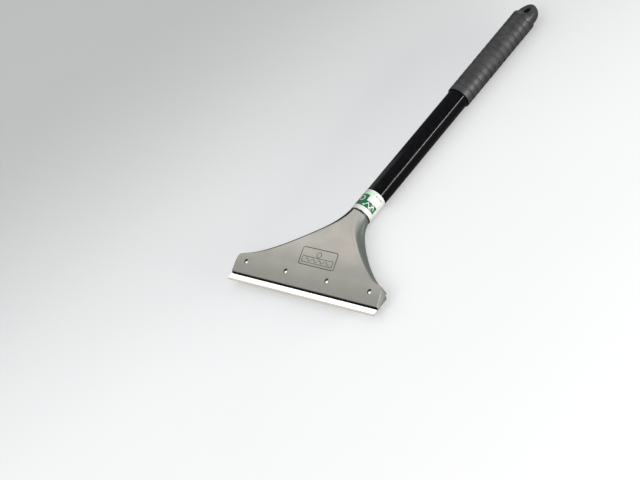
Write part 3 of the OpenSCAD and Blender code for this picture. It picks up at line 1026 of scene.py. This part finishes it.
def makeCap():
    low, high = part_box("end_cap")
    end = (high.y - lipY) / mm
    c = cap
    plug = tubeRadius - tube["wall"] - 0.05
    dome = end - tubeEnd - c["collar"]
    profile = []
    for k in range(13):
        a = math.radians(90 - 7.5 * k)
        profile.append((grip["radius"] * math.cos(a), tubeEnd + c["collar"] + dome * math.sin(a)))
    profile[0] = (0, end)
    profile += [(grip["radius"], tubeEnd + 0.25), (grip["radius"] - 0.25, tubeEnd), (plug, tubeEnd),
                (plug, tubeEnd - c["plug"] + 1), (plug - 1, tubeEnd - c["plug"]), (0, tubeEnd - c["plug"])]
    obj = turned("hangCap", profile, 96)
    obj.data.transform(upHandle)
    half = grip["radius"] + 5
    for side in (-1, 1):
        levels = sorted((side * c["tab"] / 2, side * half))
        cut(obj, boxSolid("flatCutter", (-half, tubeEnd + c["collar"], levels[0]),
                          (half, end + 5, levels[1])))
    station = end - c["holeFromEnd"]
    tab = c["tab"] / 2
    rings = []
    for radius, z in ((c["hole"] + 1.6, -tab - 1), (c["hole"] + 0.6, -tab), (c["hole"], -tab + 0.6),
                      (c["hole"], tab - 0.6), (c["hole"] + 0.6, tab), (c["hole"] + 1.6, tab + 1)):
        rings.append([(x, y, z) for x, y in circle(radius, 48, 0, station)])
    cut(obj, ringSolid("holeCutter", rings))
    bevelEdges(obj, c["edge"], 2, 50)
    return putInPlace(softShade(applyStack(obj), 30))


bushPlastic = mouldedMaterial("bushPlastic", (0.006, 0.006, 0.006, 1), 900.0, 0.2, 0.35, 0.5, 0.05)
rivetAlloy = platedMaterial("rivetAlloy", (0.66, 0.66, 0.66, 1), (0.5, 0.5, 0.5, 1), 0.3, 0.5)
gripRubber = mouldedMaterial("gripRubber", (0.010, 0.010, 0.011, 1), 1400.0, 0.35, 0.5, 0.68, 0.08)
capPlastic = mouldedMaterial("capPlastic", (0.007, 0.007, 0.008, 1), 2200.0, 0.25, 0.38, 0.5, 0.06)
finishPiece(makeBush(), "scraper", bushPlastic, "neck_bush")
finishPiece(makeTube(), "scraper", enamelMaterial(), "handle_tube")
labelBand, labelLength = makeLabel()
finishPiece(labelBand, "scraper", labelMaterial(labelLength), "label_sleeve")
finishPiece(makeRivet(), "scraper", rivetAlloy, "tube_rivet")
finishPiece(makeGrip(), "scraper", gripRubber, "hand_grip")
finishPiece(makeCap(), "scraper", capPlastic, "end_cap")
print("handle done")


# Floor, light and camera

stageSet = {"floor": (0.36, 0.36, 0.36, 1), "far": (0.26, 0.26, 0.26, 1), "lift": (0.985, 0.99, 1.0, 1),
            "liftStrength": (0.43, 0.20), "away": (-0.87, 0.49), "fade": (-0.15, 0.55), "size": 6.0}
lights = {"zenith": (0.50, 0.53, 0.56, 1), "horizon": (0.10, 0.105, 0.10, 1),
          "key": {"at": (-1.15, -0.05, 1.05), "facing": (0.74, 0.03, -0.67), "along": (0, 1, 0),
                  "size": (1.3, 1.4), "power": 9.0, "colour": (1.0, 0.985, 0.96)},
          "fill": {"at": (0.45, -1.25, 1.15), "facing": (-0.26, 0.70, -0.66), "along": (1, 0.37, 0),
                   "size": (1.6, 1.2), "power": 22.0, "colour": (1.0, 0.99, 0.98)},
          "back": {"at": (-0.42, 1.20, 0.72), "facing": (0.3, -0.83, -0.48), "along": (1, 0.3, 0),
                   "size": (0.7, 0.45), "power": 3.0, "colour": (1.0, 0.99, 0.97)},
          "strip": {"at": (1.35, 0.55, 0.22), "facing": (-1, 0, -0.08), "along": (0, 1, 0),
                    "size": (1.9, 0.14), "power": 48.0, "colour": (1.0, 0.98, 0.95)}}
cameraSet = {"at": (1.3519, -0.91635, 1.0963), "right": (0.6791, 0.5865, -0.4414),
             "up": (-0.1526, 0.7011, 0.6966), "back": (0.718, -0.4057, 0.5656), "lens": 112.5, "sensor": 36.0}


def makeFloor():
    half = stageSet["size"] / 2
    floor = newObject("floor", [(-half, -half, 0), (half, -half, 0), (half, half, 0), (-half, half, 0)],
                      [(0, 1, 2, 3)])
    material, tree, shader = newMaterial("palePaper", specularIORLevel=0.1, emissionColor=stageSet["lift"])
    grain = useGroup(tree, surfaceGrain, grainScale=700.0, mottleScale=6.0)
    # Painted shade: the floor darkens towards the far side; for camera rays only it also glows, stronger
    # near, which is painted light
    away = calc(tree, "ADD", calc(tree, "MULTIPLY", placeAlong(tree, "X"), stageSet["away"][0]),
                calc(tree, "MULTIPLY", placeAlong(tree, "Y"), stageSet["away"][1]))
    fade = spread(tree, away, *stageSet["fade"])
    paper = blendColour(tree, fade, stageSet["floor"], stageSet["far"])
    darker = blendColour(tree, 0.015, paper, (0, 0, 0, 1))
    lift = spread(tree, away, *stageSet["fade"], *stageSet["liftStrength"])
    seen = addNode(tree, "ShaderNodeLightPath").outputs["Is Camera Ray"]    # softens the shadows
    feed(tree, shader, baseColor=blendColour(tree, grain["Mottle"], paper, darker),
         roughness=spread(tree, grain["Mottle"], 0.0, 1.0, 0.7, 0.8),
         emissionStrength=calc(tree, "MULTIPLY", seen, lift))
    floor.data.materials.append(material)


def makeArea(name):
    settings = lights[name]
    light = bpy.data.lights.new(name, "AREA")
    light.shape = "RECTANGLE"
    light.size, light.size_y = settings["size"]
    light.energy = settings["power"]
    light.color = settings["colour"]
    obj = bpy.data.objects.new(name, light)
    back = -Vector(settings["facing"]).normalized()
    up = back.cross(Vector(settings["along"])).normalized()
    turn = Matrix((up.cross(back), up, back)).transposed()
    obj.matrix_world = Matrix.Translation(settings["at"]) @ turn.to_4x4()
    obj.visible_camera = False
    bpy.context.scene.collection.objects.link(obj)


def makeSky():
    world = bpy.data.worlds.new("studio")
    bpy.context.scene.world = world
    world.use_nodes = True
    tree = world.node_tree
    direction = addNode(tree, "ShaderNodeTexCoord").outputs["Generated"]
    up = axisOf(tree, direction, "Z")
    colour = blendColour(tree, spread(tree, up, 0.05, 0.9), lights["horizon"], lights["zenith"])
    tree.links.new(colour, tree.nodes["Background"].inputs["Color"])


makeSky()
makeFloor()
for lightName in ("key", "fill", "back", "strip"):
    makeArea(lightName)

lens = bpy.data.cameras.new("camera")
lens.lens = cameraSet["lens"]
lens.sensor_width = cameraSet["sensor"]
camera = bpy.data.objects.new("camera", lens)
turnCamera = Matrix((cameraSet["right"], cameraSet["up"], cameraSet["back"])).transposed()
camera.matrix_world = Matrix.Translation(cameraSet["at"]) @ turnCamera.to_4x4()
bpy.context.scene.collection.objects.link(camera)
bpy.context.scene.camera = camera
bpy.context.scene.view_settings.view_transform = "Standard"
print("stage done")
